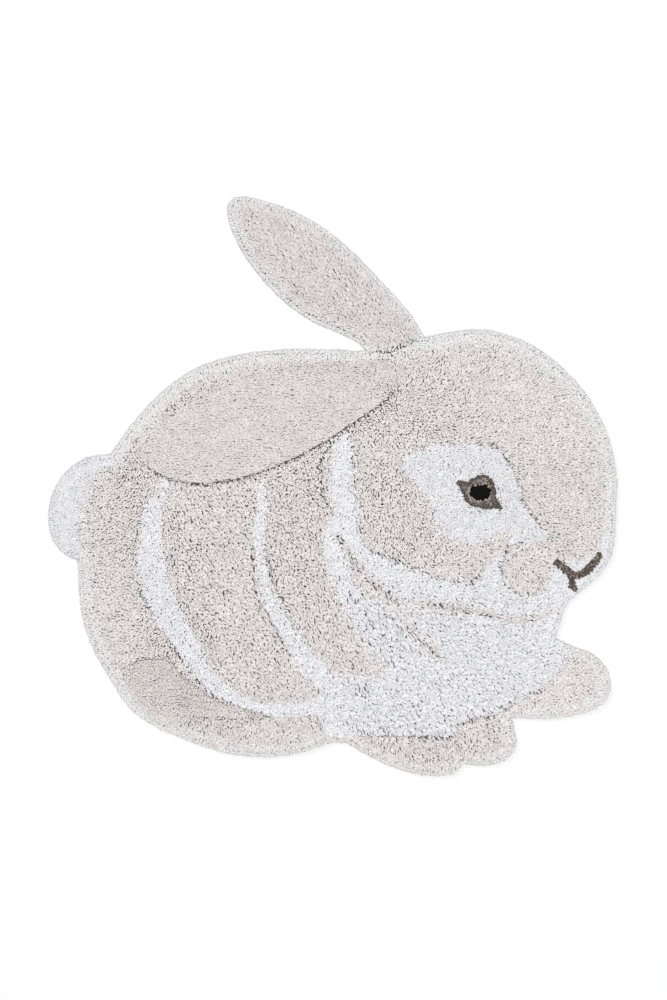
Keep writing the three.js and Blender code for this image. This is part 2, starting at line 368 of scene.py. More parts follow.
# %% Carved lines
EAR_BASE = [(81, 262, 0.7), (100, 257, 1.1), (129, 266, 1.1), (158, 280, 1.0), (180, 288, 0.6)]
CARVED_LINES = [
    [(-366, 70, 0.6), (-360, 44, 1.2), (-334, 24, 1.5), (-299, 10, 1.5), (-257, 4, 1.4),
     (-215, 10, 1.2), (-172, 17, 1.4), (-128, 34, 1.5), (-79, 51, 1.3), (-40, 73, 1.1),
     (-4, 92, 1.2), (58, 133, 0.9), (96, 160, 0.9), (128, 186, 0.6)],
    [(79, -128, 1.6), (100, -138, 2.0), (129, -148, 2.0), (151, -157, 1.4)],
    [(37, 76, 1.0), (39, 32, 1.3), (41, -26, 1.3), (46, -74, 1.5), (62, -113, 1.5),
     (79, -128, 1.6)],
    [(27, 105, 0.8), (4, 88, 1.0), (-15, 67, 1.3), (-23, 41, 1.4), (-23, 3, 1.3), (-15, -26, 1.3),
     (4, -55, 1.0)],
    [(8, -97, 1.4), (27, -123, 1.6), (42, -152, 1.8), (66, -180, 2.0), (100, -204, 1.8),
     (125, -227, 1.2)],
    [(284, 82, 0.8), (313, 76, 1.4), (336, 55, 1.5), (355, 18, 1.4), (365, -16, 1.5),
     (380, -49, 1.5), (409, -84, 1.2)],
    [(365, -107, 1.0), (336, -123, 1.3), (324, -157, 1.4), (336, -190, 1.5), (365, -209, 1.3),
     (400, -200, 1.0)],
    [(178, -225, 1.2), (216, -231, 1.8), (245, -238, 2.0), (280, -246, 1.8), (322, -252, 1.3)],
    [(151, -157, 0.9), (207, -177, 1.2), (264, -184, 1.2), (288, -173, 0.9)],
    [(-160, -103, 1.0), (-154, -142, 1.5), (-149, -200, 1.5), (-133, -238, 1.5), (-114, -273, 1.3),
     (-83, -325, 1.0)],
    [(-135, -107, 1.0), (-125, -152, 1.3), (-112, -190, 1.5), (-93, -225, 1.2)],
    [(-376, -186, 1.2), (-363, -221, 1.5), (-349, -244, 1.2)],
    [(-318, -296, 1.2), (-299, -323, 1.6), (-276, -350, 1.6), (-257, -377, 1.8), (-230, -404, 1.5),
     (-179, -437, 1.3), (-122, -445, 1.0)],
    [(-245, -269, 1.1), (-239, -289, 1.5), (-234, -308, 1.1)],
    [(64, -385, 0.9), (60, -400, 1.3), (60, -416, 0.9)],
    [(33, -204, 0.8), (56, -238, 1.2), (87, -281, 1.2), (114, -316, 0.8)],
    [(-395, -346, 0.6), (-352, -331, 1.2), (-320, -333, 1.3), (-294, -362, 1.5), (-248, -398, 1.5),
     (-190, -422, 1.4), (-140, -440, 0.9)],
    [(-290, -396, 0.6), (-262, -402, 0.9), (-232, -407, 0.6)],
    [(-292, -408, 0.6), (-255, -414, 0.9), (-222, -419, 0.6)],
    [(-300, -422, 0.5), (-262, -424, 0.8), (-238, -430, 0.5)],
    [(46, -476, 0.6), (81, -478, 1.2), (139, -484, 1.2), (206, -484, 1.2), (230, -489, 1.3),
     (245, -505, 1.3), (253, -534, 1.0)],
    [(237, -465, 0.8), (245, -458, 1.2), (264, -450, 1.4), (284, -447, 1.4), (303, -448, 1.2),
     (317, -443, 0.8)],
    [(313, -427, 0.6), (335, -430, 1.0), (361, -402, 1.2), (399, -397, 0.8)],
    [(79, -219, 0.7), (100, -242, 1.2), (129, -271, 1.2), (158, -292, 1.4), (187, -312, 1.4),
     (206, -331, 0.8)],
    EAR_BASE,
]
print("carved lines:", len(CARVED_LINES))


def in_patch(points, stations):
    return inside(points, smooth(stations, closed=True))


def in_stroke(points, stations):
    line = smooth(stations)
    gap, place = nearest(points, line)
    return gap < np.interp(place, np.arange(len(line)), line[:, 2])


# %% [markdown]
# ## Setting out the tufts
#
# A tufting gun leaves its tufts in rows, close but never quite even. A particle system would
# scatter them, with crowds here and holes there. So they are set out on a staggered grid
# first, and nudged later on. Fine pile has a closer grid than deep pile.

# %% Setting out the tufts
DEEP, EAR, CLIPPED, FINE = range(4)
PITCH = {DEEP: 4.0, EAR: 3.7, CLIPPED: 3.2, FINE: 3.0}


def staggered(pitch):
    low, high = rim.min(axis=0), rim.max(axis=0)
    xs = np.arange(low[0], high[0], pitch)
    ys = np.arange(low[1], high[1], pitch * math.sqrt(3) / 2)
    x, y = np.meshgrid(xs, ys)
    x = x + (np.arange(len(ys)) % 2)[:, None] * pitch / 2
    return np.stack([x.ravel(), y.ravel()], axis=1)


def sort_of_pile(points):
    sort = np.full(len(points), DEEP)
    sort[in_patch(points, LAID_EAR)] = EAR
    sort[in_patch(points, RAISED_EAR)] = EAR
    sort[in_patch(points, CLIPPED_FOOT)] = CLIPPED
    mouth = np.any([in_stroke(points, arm) for arm in MOUTH], axis=0)
    sort[in_patch(points, EYE) | mouth] = FINE
    return sort


rows = []
for sort, pitch in PITCH.items():
    grid = staggered(pitch)
    grid = grid[inside(grid, rim)]
    grid = grid[sort_of_pile(grid) == sort]
    rows.append((grid, np.full(len(grid), sort)))
    print("sort", sort, "has", len(grid), "tufts")
roots = np.vstack([grid for grid, _ in rows])
sorts = np.concatenate([sort for _, sort in rows])

# %% [markdown]
# One question is asked of the chart again and again: is this spot white? It is white inside a
# white field, unless a grey field is laid over it.

# %% Which yarn is white


def is_white(points):
    white = in_patch(points, FRONT) | in_patch(points, TAIL)
    white |= in_stroke(points, FLANK_CRESCENT) | in_stroke(points, SIDE_CRESCENT)
    grey = in_patch(points, MUZZLE) | in_patch(points, CHEEK_TIP)
    return white & ~(grey | in_stroke(points, RUFF_STREAK) | in_stroke(points, JAW_STREAK))


# %% [markdown]
# ## Which way the pile lies
#
# Cut pile isn't upright: combing and washing leave it lying one way here and another there.
# Each row is one stroke of the comb: where, which way in degrees, how far the tips are carried,
# how far single yarns stray, how uneven their ends are, and what share was cut too short. A yarn
# follows the strokes near it. Each ear is combed one way from its root to its tip. Hair grooming
# tools could do the same by hand, but a table can be read and changed.

# %% Strokes of the comb
COMB = np.array([
    # x, y, heading, reach, stray, uneven, short
    (-345, -60, -85, 4, 0.6, 0.9, 0.02),
    (-345, -190, -85, 4, 0.6, 0.9, 0.02),
    (-295, -310, -70, 5, 0.6, 0.9, 0.03),
    (-220, -400, -50, 6, 0.5, 0.9, 0.03),
    (-430, -60, 200, 7, 0.8, 1.0, 0.06),
    (-400, -220, 168, 9, 0.5, 1.0, 0.04),
    (-420, -300, 170, 9, 0.4, 0.8, 0.03),
    (-330, -400, 200, 6, 0.4, 0.7, 0.03),
    (-510, -50, 200, 6, 0.3, 0.3, 0.01),
    (-300, 10, -50, 9, 0.5, 0.9, 0.04),
    (-240, -60, -25, 11, 0.4, 1.45, 0.04),
    (-220, -200, -27, 11, 0.4, 1.45, 0.04),
    (-180, -340, -40, 10, 0.45, 1.2, 0.05),
    (-60, -100, -45, 7, 0.8, 1.0, 0.10),
    (-60, -200, -50, 7, 0.8, 1.0, 0.10),
    (-40, -290, -70, 9, 0.5, 1.1, 0.08),
    (40, -320, -52, 10, 0.4, 1.1, 0.08),
    (-100, -490, -40, 9, 0.4, 0.5, 0.02),
    (40, -420, -40, 8, 0.5, 0.7, 0.04),
    (60, -60, -80, 7, 0.8, 0.9, 0.08),
    (120, -60, -60, 5, 1.0, 0.95, 0.13),
    (180, -110, -35, 6, 0.9, 1.0, 0.10),
    (100, -250, -50, 10, 0.4, 1.0, 0.07),
    (200, -360, -48, 10, 0.4, 0.7, 0.05),
    (340, -340, -35, 9, 0.5, 0.65, 0.05),
    (90, 60, -70, 7, 0.7, 0.85, 0.06),
    (140, 105, -50, 6, 0.8, 0.8, 0.06),
    (108, 218, 125, 6, 0.5, 0.5, 0.03),
    (185, 145, 0, 6, 0.8, 0.8, 0.06),
    (175, 205, 60, 8, 0.6, 0.75, 0.05),
    (200, 0, -50, 7, 0.7, 0.9, 0.06),
    (260, 250, 70, 8, 0.5, 0.5, 0.03),
    (300, 90, 35, 8, 0.6, 0.65, 0.05),
    (350, 160, 40, 9, 0.5, 0.65, 0.03),
    (460, 140, 20, 9, 0.4, 0.5, 0.03),
    (500, 0, -10, 8, 0.5, 0.55, 0.03),
    (400, 0, 20, 8, 0.5, 0.65, 0.04),
    (300, -80, -45, 7, 0.4, 0.4, 0.01),
    (370, -160, -40, 8, 0.6, 0.9, 0.05),
    (260, -230, -20, 9, 0.6, 0.9, 0.05),
    (150, -520, -50, 8, 0.4, 1.35, 0.07),
    (300, -490, -60, 8, 0.4, 1.35, 0.07),
    (460, -390, 10, 9, 0.4, 0.25, 0.01),
    (-380, 120, 150, 8, 0.5, 0.55, 0.03),
    (-200, 260, 110, 7, 0.4, 0.5, 0.03),
], float)
COMB_WIDTH = 40.0
LAID_EAR_LAY = (198.8, 8.0)  # heading and reach
RAISED_EAR_LAY = (139.0, 8.0)
EAR_ROOT = (132, 222)  # the laid ear grows out of the head here
EAR_LAY_STARTS = (20, 85)  # and between these distances its own lay takes over
print("strokes of the comb:", len(COMB))


def along_heading(heading, reach):
    turn = np.radians(heading)
    return np.stack([np.cos(turn) * reach, np.sin(turn) * reach], axis=-1)


def combed(points):
    gap2 = ((points[:, None, :] - COMB[None, :, :2]) ** 2).sum(axis=2)
    weight = 1 / (gap2 + COMB_WIDTH**2) ** 1.5
    weight /= weight.sum(axis=1, keepdims=True)
    lay = weight @ along_heading(COMB[:, 2], COMB[:, 3])
    from_root = np.hypot(points[:, 0] - EAR_ROOT[0], points[:, 1] - EAR_ROOT[1])
    laid = (in_patch(points, LAID_EAR) * ease(from_root, *EAR_LAY_STARTS))[:, None]
    lay = lay * (1 - laid) + along_heading(*LAID_EAR_LAY) * laid
    lay[in_patch(points, RAISED_EAR)] = along_heading(*RAISED_EAR_LAY)
    return (lay, *(weight @ COMB[:, 4:]).T)


# %% [markdown]
# Some things change slowly from place to place and not from yarn to yarn. `wander` is a smooth
# noise for them, a number between -1 and 1 that changes over `scale` millimetres. Each use has
# a layer of its own, so that no two of them change together.

# %% Slow changes


def wander(points, scale, layer):
    return np.array([noise.noise(Vector((x / scale, y / scale, layer))) for x, y in points])


def turned(lay, angle):
    c, s = np.cos(angle), np.sin(angle)
    return np.stack([lay[:, 0] * c - lay[:, 1] * s, lay[:, 0] * s + lay[:, 1] * c], axis=1)


# %% [markdown]
# ## The rim's fall
#
# A yarn at the rim has no neighbour outside, so it falls outwards over the edge of the cloth.
# The way out is a quarter turn from the way along the rim. Where the raised ear meets the back
# the rim turns sharply in, and yarns that spill from both sides would close the notch. There
# `tightness` goes to 1, and they hardly spill.

# %% The rim's fall
RIM_OVERHANG = 6.0  # the pile ends this far outside the cloth's lower edge
FALL_STARTS = 15.0
OUTER_LEAN = 6.0
NOTCH = (73, 263)
NOTCH_REACH = (22, 50)


def rim_gap(points):
    gap, place = nearest(points, rim, closed=True)
    first = rim[place.astype(int)]
    step = rim[(place.astype(int) + 1) % len(rim)] - first
    step /= np.linalg.norm(step, axis=1, keepdims=True)
    return gap, np.stack([step[:, 1], -step[:, 0]], axis=1)


def tightness(points):
    return 1 - ease(np.hypot(points[:, 0] - NOTCH[0], points[:, 1] - NOTCH[1]), *NOTCH_REACH)


# %% [markdown]
# Nobody carves a straight line in pile. `carved` tells how far a spot lies outside the nearest
# carved line, with the lines swaying by a few millimetres. `calmness` is 0 on the chest and
# paws, where the white yarn is ruffled, and nears 1 where it lies smooth.

# %% Carved and calm pile
CARVED_SWAY = 5.0


def carved(points):
    sway = np.stack([wander(points, 15, 81.0), wander(points, 15, 91.0)], axis=1)
    points = points + CARVED_SWAY * sway
    away = np.full(len(points), np.inf)
    for stations in CARVED_LINES:
        line = smooth(stations)
        line_gap, place = nearest(points, line)
        away = np.minimum(away, line_gap - np.interp(place, np.arange(len(line)), line[:, 2]))
    return away


def calmness(points):
    upper = ease(points[:, 1], -270, -120)
    flank = 0.75 * ease(-points[:, 0], -60, 40)
    return np.maximum(upper, flank)


# %% [markdown]
# ## How each yarn behaves
#
# The comb gives every yarn its lay and how uneven it is. Then some kinds are corrected: the
# ears and the clipped foot are shorn smooth, and white yarn is smooth above and ruffled on the
# chest. Deep pile beside a carved line has lost its support and is more uneven. All pile is
# trimmed at the rim. The more uneven a yarn is, the further its root is nudged from the grid.

# %% How uneven each yarn is
lay, stray, rough, short = combed(roots)
pale = is_white(roots) & (sorts == DEEP)
raised = in_patch(roots, RAISED_EAR)
kinds = [sorts == EAR, sorts == CLIPPED, sorts == FINE, pale]
stray = np.select(kinds, [0.2, 0.25, 0.4, stray * 0.7], stray)
ear_rough = np.where(raised, 0.75, 0.35)
white_rough = (1.6 - 0.9 * calmness(roots)) * rough
rough = np.select(kinds, [ear_rough, 0.16, 0.7, white_rough], rough)
beside_carving = 1 - ease(carved(roots), 4, 14)
rough += 0.5 * beside_carving * (sorts == DEEP)
spacing = np.array(list(PITCH.values()))[sorts]
shake = np.clip(0.14 + 0.2 * rough, 0.22, 0.4)
roots = roots + chance.uniform(-1, 1, roots.shape) * (spacing * shake)[:, None]
gap, out = rim_gap(roots)
rough *= 0.45 + 0.55 * ease(gap, 10, 36)
print("unevenness:", rough.min().round(2), "to", rough.max().round(2), "mm")

# %% [markdown]
# The lay is bent outwards in a wide band along the rim, shortened where the pile is short,
# turned and stretched by chance, and taken away round the eye and the mouth, where yarns stand
# up, so that the small dark fields keep their edges. Last comes the fall.

# %% The lay of each yarn
SORT_REACH = np.array([1.0, 1.0, 0.45, 0.25])  # deep, ear, clipped and fine yarns
OUTER_BAND = (8, 48)
tight = tightness(roots)
outer = ((1 - ease(gap, *OUTER_BAND)) * (1 - 0.8 * tight))[:, None]
outer[(sorts == EAR) & in_patch(roots, RAISED_EAR)] *= 0.6
lay = lay * (1 - 0.85 * outer) + out * outer * OUTER_LEAN
lay *= SORT_REACH[sorts][:, None]
lay = turned(lay, stray * (1.6 * wander(roots, 38, 1.0) + chance.normal(0, 0.5, len(roots))))
lay *= (1 + 0.35 * wander(roots, 25, 5.0) + chance.uniform(-0.35, 0.25, len(roots)))[:, None]
feature_gap = nearest(roots, smooth(EYE, closed=True), closed=True)[0]
for arm in MOUTH:
    feature_gap = np.minimum(feature_gap, nearest(roots, smooth(arm))[0] - 6)
lay *= np.where(sorts == FINE, 1, 0.12 + 0.88 * ease(feature_gap, 1, 13))[:, None]
fall = 1 - ease(gap, 0, FALL_STARTS)
spill = (RIM_OVERHANG + chance.uniform(-1.5, 1.5, len(roots))) * (1 - 1.1 * tight)
lay = lay * (1 - fall)[:, None] + out * (fall * spill)[:, None]
print("mean lay:", np.hypot(*lay.T).mean().round(1), "mm")

# %% [markdown]
# ## Clumps
#
# Washed cotton yarns cling to their neighbours in small locks, with dark gaps between. Lock
# centres are set out on a coarser grid, and each cut end is drawn part of the way to the one
# nearest to it. It is drawn mostly across its lay, so the locks are long in the way they lie.

# %% Clumps
CLUMP_PITCH = {DEEP: 12.0, EAR: 10.0, CLIPPED: 8.0, FINE: 9.0}
deep_pull = np.clip(0.27 * rough, 0.05, 0.4)
clump_pull = np.where(sorts == DEEP, deep_pull, np.where(raised, 0.2, 0.08))
tips = roots + lay
pull = np.zeros_like(tips)
for sort, pitch in CLUMP_PITCH.items():
    centres = staggered(pitch)
    centres = centres + chance.uniform(-0.3, 0.3, centres.shape) * pitch
    tree = kdtree.KDTree(len(centres))
    for i, (x, y) in enumerate(centres):
        tree.insert((x, y, 0), i)
    tree.balance()
    for i in np.flatnonzero(sorts == sort):
        x, y, _ = tree.find((tips[i, 0], tips[i, 1], 0))[0]
        pull[i] = np.array([x, y]) - tips[i]
    print("sort", sort, "has", len(centres), "lock centres")
along_lay = lay / np.maximum(1e-6, np.linalg.norm(lay, axis=1, keepdims=True))
pull -= 0.75 * (pull * along_lay).sum(axis=1, keepdims=True) * along_lay
tips += clump_pull[:, None] * pull

# %% [markdown]
# ## The line of each yarn
#
# A yarn is a line of three points: a root in the cloth, a knee, and a cut end. More points
# would bend it more smoothly, but there are many thousands, and from above only the ends show.
# A yarn that would lie across a carved line, or hang over a step down, is drawn back. The
# shears don't run evenly, so a carved line is shallow in some places.

# %% The line of each yarn
ROOT_HEIGHT = CLOTH_THICKNESS - 0.7
KNEE_HEIGHT = 0.76  # share of the cut end's height
KNEE_PLACE = 0.3  # share of the way from root to cut end
CARVED_DEPTH = 10.0
DRAWN_BACK = 0.3  # share of its lay that a drawn back yarn keeps
LOWEST_TIP = 5.0


def trimmed(points):
    top = pile_height(points)
    for line, height, reach in SOFT_EDGES:
        soft = 1 - ease(nearest(points, smooth(line))[0], SOFT_CORE, reach)
        top += soft * np.maximum(height - top, 0)
    return top


def yarn_lines(*stations):
    points = [np.column_stack([place, np.broadcast_to(z, len(place))]) for place, z in stations]
    return np.stack(points, axis=1)


root_top = trimmed(roots)
blocked = (trimmed(tips) < root_top - 2.0) & (gap > 14)
broken = 0.3 + 0.7 * ease(wander(roots, 9, 51.0), -0.35, 0.15)
blocked |= (carved(roots) > 0.8) & (carved(tips) < 0.8) & (broken > 0.5)
tips = np.where(blocked[:, None], roots + DRAWN_BACK * (tips - roots), tips)
tip_top = np.minimum(trimmed(tips), root_top + 1.5)
tip_z = tip_top + np.clip(chance.normal(0, 1, len(roots)), -2.2, 2.0) * rough
tip_z -= CARVED_DEPTH * (1 - ease(carved(roots), 0, 1.6)) * broken
white_short = short * (1 - 0.8 * calmness(roots))
short = np.select([sorts != DEEP, gap < 22, pale], [0.004, 0.004, white_short], short)
tip_z -= (chance.random(len(roots)) < short) * chance.uniform(6, 12, len(roots))
tip_z -= fall * chance.uniform(0, 3.0, len(roots))
tip_z = np.maximum(tip_z, LOWEST_TIP)
knees = roots + KNEE_PLACE * (tips - roots)
lines = yarn_lines((roots, ROOT_HEIGHT), (knees, tip_z * KNEE_HEIGHT), (tips, tip_z))
print("lines:", len(lines), "and drawn back:", int(blocked.sum()))

# %% [markdown]
# ## Filling the thin spots
#
# Where the pile parts, bare spots would show the cloth. A maker sees them and shoots a few more
# tufts there. Here every knee and cut end is stamped on a fine chart, and each small block of
# the chart that is still mostly bare gets a yarn. Ruffled pile keeps more of its gaps.

# %% Filling the thin spots
BLOCK = 3.4
KNEE_STAMP, TIP_STAMP = 1.5, 2.0
EARS_PART = 225  # the raised ear is above this y, and the laid ear below it


def stamped(chart, centres, radius):
    reach = np.arange(-math.ceil(radius), math.ceil(radius) + 1)
    cells = np.rint(centres - chart_corner).astype(int)
    for dx in reach:
        for dy in reach:
            if math.hypot(dx, dy) <= radius:
                chart[cells[:, 1] + dy, cells[:, 0] + dx] = False


def thin_spots():
    size = (chart_size * RAY_STEP).astype(int)
    bare = np.ones((size[1], size[0]), bool)
    stamped(bare, lines[:, 1, :2], KNEE_STAMP)
    stamped(bare, lines[:, 2, :2], TIP_STAMP)
    row, column = np.nonzero(bare)
    spots = np.stack([column, row], axis=1) + chart_corner
    block = np.floor(spots / BLOCK).astype(int)
    _, which, count = np.unique(block, axis=0, return_inverse=True, return_counts=True)
    which = which.ravel()
    middle = np.stack([np.bincount(which, spots[:, i]) / count for i in (0, 1)], axis=1)
    held = inside(middle, rim) & (count >= 3)
    return middle[held], count[held]


spots, bare_count = thin_spots()
spot_lay, _, spot_rough, _ = combed(spots)
spot_sorts = sort_of_pile(spots)
spot_white = is_white(spots) & (spot_sorts == DEEP)
spot_rough *= np.where(spot_white, 1.5 - 1.1 * calmness(spots), 1)
shorn_rough = np.where(spots[:, 1] > EARS_PART, 1.1, 0.5)
spot_rough = np.where(spot_sorts != DEEP, shorn_rough, spot_rough)
needed = 3.2 + 3.0 * np.clip(spot_rough - 0.4, 0, 1.2) * ease(rim_gap(spots)[0], 8, 30)
wanted = (bare_count >= needed) & (carved(spots) > 3.5) & (spot_sorts != FINE)
spots, spot_sorts, spot_rough = spots[wanted], spot_sorts[wanted], spot_rough[wanted]
spot_lean = 0.35 * spot_lay[wanted]
spot_top = trimmed(spots) - 0.4 - chance.uniform(0, 2, len(spots)) * spot_rough
fill_lines = yarn_lines(
    (spots - spot_lean, ROOT_HEIGHT),
    (spots - 0.6 * spot_lean, spot_top * KNEE_HEIGHT),
    (spots, spot_top),
)
lines = np.concatenate([lines, fill_lines])
sorts = np.concatenate([sorts, spot_sorts])
print("thin spots filled:", len(spots))

# %% [markdown]
# The rim's side shows too, so five more rows of yarn are shot along the very edge of the
# cloth. They lie low and point outwards, each row a little higher than the one before.

# %% Low rows at the rim
LOW_PITCH = 4.2
LOW_ROOT, LOW_TIP = 3.3, 3.0  # no root and no cut end is lower
LOW_ROWS = [  # the knee's height, how far the row reaches, the cut end's height
    (3.5, 4.5, 3.0), (7.0, 5.0, 7.0), (10.5, 5.0, 11.0), (13.0, 4.5, 14.5), (15.5, 1.5, 16.5),
]


def along_rim(pitch):
    step = np.roll(rim, -1, axis=0) - rim
    length = np.linalg.norm(step, axis=1)
    ends = np.concatenate([[0], np.cumsum(length)])
    spots = np.arange(0, ends[-1], pitch)
    spots = spots + chance.uniform(-0.3, 0.3, len(spots)) * pitch
    spots = np.clip(spots, 0, ends[-1] - 0.01)
    i = np.searchsorted(ends, spots, side="right") - 1
    t = ((spots - ends[i]) / length[i])[:, None]
    return rim[i] + t * step[i], np.stack([step[i, 1], -step[i, 0]], axis=1) / length[i][:, None]


for knee_height, low_reach, tip_height in LOW_ROWS:
    spot, side = along_rim(LOW_PITCH)
    side = turned(side, chance.normal(0, 0.3, len(spot)))
    reach = (low_reach + chance.uniform(-1.5, 1.5, len(spot))) * (1 - 1.1 * tightness(spot))
    carried = side * reach[:, None]
    low_tip_z = np.maximum(tip_height + chance.normal(0, 1.2, len(spot)), LOW_TIP)
    low_lines = yarn_lines(
        (spot - 1.5 * side, LOW_ROOT),
        (spot + carried * 0.45, knee_height),
        (spot + carried, low_tip_z),
    )
    lines = np.concatenate([lines, low_lines])
    sorts = np.concatenate([sorts, np.full(len(spot), DEEP)])
roots, tips = lines[:, 0, :2], lines[:, 2, :2]
gap = rim_gap(tips)[0] * np.where(inside(tips, rim), 1, -1)
print("lines with the rim's side:", len(lines))

# %% [markdown]
# ## Sorting the yarns into pieces
#
# A yarn takes the colour of the field under it, read a little past its middle. The borders are
# combed into each other, and more so in some places. So the spot that is looked up is shifted,
# by a wandering amount and by chance. The first field in the list that holds a yarn keeps it.

# %% Sorting the yarns into pieces
TAIL_ENDS = -430  # the tail is left of this x
FUZZ = 1.9
FUZZY_BORDERS = [  # middle, reach and amount
    (60, -368, 90, 4.0), (-30, -410, 60, 3.0), (100, -250, 140, 4.5), (240, -240, 90, 3.5),
    (40, -150, 45, 3.0), (-330, 0, 50, 3.5), (-139, 10, 40, 2.0), (-130, -180, 110, 1.5),
    (-450, -20, 110, 4.5), (210, -70, 80, 2.5),
]
looked_up = roots + 0.6 * (tips - roots)
sway = np.stack([wander(looked_up, 9, 21.0), wander(looked_up, 9, 31.0)], axis=1)
looked_up = looked_up + sway * 5
fuzzy = np.full(len(roots), FUZZ)
for spot_x, spot_y, reach, amount in FUZZY_BORDERS:
    away = np.hypot(roots[:, 0] - spot_x, roots[:, 1] - spot_y)
    fuzzy += amount * (1 - ease(away, 0.3 * reach, reach))
looked_up = looked_up + chance.normal(0, 1, looked_up.shape) * fuzzy[:, None]
x, y = looked_up.T

deep, ear = sorts == DEEP, sorts == EAR
white = is_white(looked_up) & deep
eye = (sorts == FINE) & in_patch(roots, EYE)
pupil_place = (roots - PUPIL[:2]) / PUPIL[2:]
pupil_place = np.hypot(*pupil_place.T) + 0.12 * wander(roots, 4, 41.0)
raised_ear = ear & (y > EARS_PART) & (x < 130) & in_patch(looked_up, RAISED_EAR)
fields = [
    ("eye_pupil", "eye_pile", eye & (pupil_place < 1)),
    ("eye_iris", "eye_pile", eye),
    ("mouth", "mouth_pile", (sorts == FINE) & ~eye),
    ("white_tail", "white_pile", white & (x < TAIL_ENDS)),
    ("white_flank", "white_pile", white & (x < 0) & (y < 20)),
    ("white_front", "white_pile", white & (y < -190)),
    ("white_face", "white_pile", white),
    ("grey_clipped_foot", "grey_pile", sorts == CLIPPED),
    ("grey_raised_ear", "grey_pile", raised_ear),
    ("grey_laid_ear", "grey_pile", ear),
    ("grey_haunch", "grey_pile", x < -220),
    ("grey_flank", "grey_pile", x < 60),
    ("grey_head", "grey_pile", y > 30),
    ("grey_face", "grey_pile", y > -380),
    ("grey_paws", "grey_pile", np.full(len(x), True)),
]
print("white yarns:", int(white.sum()), "of", len(white))

# %% [markdown]
# ## What the dye did, and the painted light at the rim
#
# No two yarns took the dye alike. Each has a tint, a number mostly from 0 to 1 and darker when
# low, with patches of it that wander over the rug. The ends at the rim are painted lighter, a
# painted highlight where the splayed edge catches the light. A second number tells how far a
# yarn is from there. It is made larger on the paws and the raised ear, which get less of the
# painted highlight, and smaller above the forehead and at the raised ear's root, which get
# more. A shader can't find the rim by itself, so both numbers are stored on the yarns.

# %% Tints and the painted rim light
FEET_TOP = -300  # the feet and paws are below this y
HAUNCH_FRONT, FAR_PAW = -20, 370  # the haunch's front and the far paw's root, in x
lighter, darker = deep & (y > 60) & (x > 60), ear & (y > EARS_PART)
tints = chance.uniform(0, 1, len(x)) + np.select([lighter, darker], [0.12, -0.24], 0)
white_root = is_white(roots) & deep
tints += np.where(white_root, 0.9, 0.6) * wander(roots, 13, 61.0)
tail_or_eye = (x < TAIL_ENDS) | ((y > -150) & (x > 100))
tints -= np.where(white_root & tail_or_eye, 0.35, 0)
grey_low = deep & ~white_root & (y < FEET_TOP)
tints += np.where(grey_low & (x > FAR_PAW), 0.25, 0)
tints -= np.where(grey_low & (y < -400) & (x < 0), 0.2, 0)
eye_edge = nearest(roots, smooth(EYE, closed=True), closed=True)[0]
tints[eye] *= 0.1 + 0.9 * ease(eye_edge[eye], 2, 8)
light_ring = eye & (pupil_place < 1.22) & (roots[:, 0] < 300) & (roots[:, 1] < 5)
tints[light_ring] = 0.95

feet = y < FEET_TOP
# painted highlight: this distance from the rim sets how much lighter each yarn's end is painted
rim_light_gap = gap + np.where(feet & (x > HAUNCH_FRONT), np.where(x > FAR_PAW, 5, 14), 0)
rim_light_gap += np.where(feet & (x < HAUNCH_FRONT), 5, 0) + np.where(ear & (y > EARS_PART), 7, 0)
rim_light_gap -= np.where(deep & (y > 200) & (x > 120), 9, 0)
base_gap = nearest(tips, smooth(EAR_BASE))[0]
rim_light_gap = np.where(deep, np.minimum(rim_light_gap, 1.2 * base_gap), rim_light_gap)
print("tints:", tints.min().round(2), "to", tints.max().round(2))

# %% [markdown]
# ## Nodes as sums
#
# The thickening tool and the materials are built of nodes, which are easier to read as Python
# than as a row of boxes. `Signal` wraps a socket, and each sum on it adds one Math node.
# `Boxes` makes any other node from its kind, its settings and what goes into its sockets.

# %% Nodes as sums


class Signal:
    def __init__(self, boxes, socket):
        self.boxes, self.socket = boxes, socket

    def math(self, operation, *others):
        values = {i: other for i, other in enumerate((self, *others))}
        return self.boxes.node("ShaderNodeMath", {"operation": operation}, values)[0]

    def __add__(self, other):
        return self.math("ADD", other)

    def __mul__(self, other):
        return self.math("MULTIPLY", other)

    def __sub__(self, other):
        return self.math("SUBTRACT", other)

    def __rsub__(self, other):
        return self.math("MULTIPLY_ADD", -1.0, other)

    def __truediv__(self, other):
        return self.math("DIVIDE", other)

    __radd__, __rmul__ = __add__, __mul__

    def clipped(self):
        return self.math("MINIMUM", 1.0).math("MAXIMUM", 0.0)


class Boxes:
    def __init__(self, tree):
        self.tree = tree

    def node(self, kind, settings=(), inputs=()):
        box = self.tree.nodes.new(kind)
        for name, value in dict(settings).items():
            setattr(box, name, value)
        for name, value in dict(inputs).items():
            if isinstance(value, Signal):
                self.tree.links.new(value.socket, box.inputs[name])
            else:
                box.inputs[name].default_value = value
        return [Signal(self, socket) for socket in box.outputs]


# %% [markdown]
# ## Thickening the lines into yarns
#
# Each piece is first a mesh of bare lines. A small Geometry Nodes tool turns the lines into
# curves, sweeps a three-cornered ring along them and closes the ends. Three corners are enough
# for so thin a thing, and keep each yarn at 14 triangles. The tool stores where on the ring
# each point lies, because the shader twists the plies by it.

# %% The thickening tool


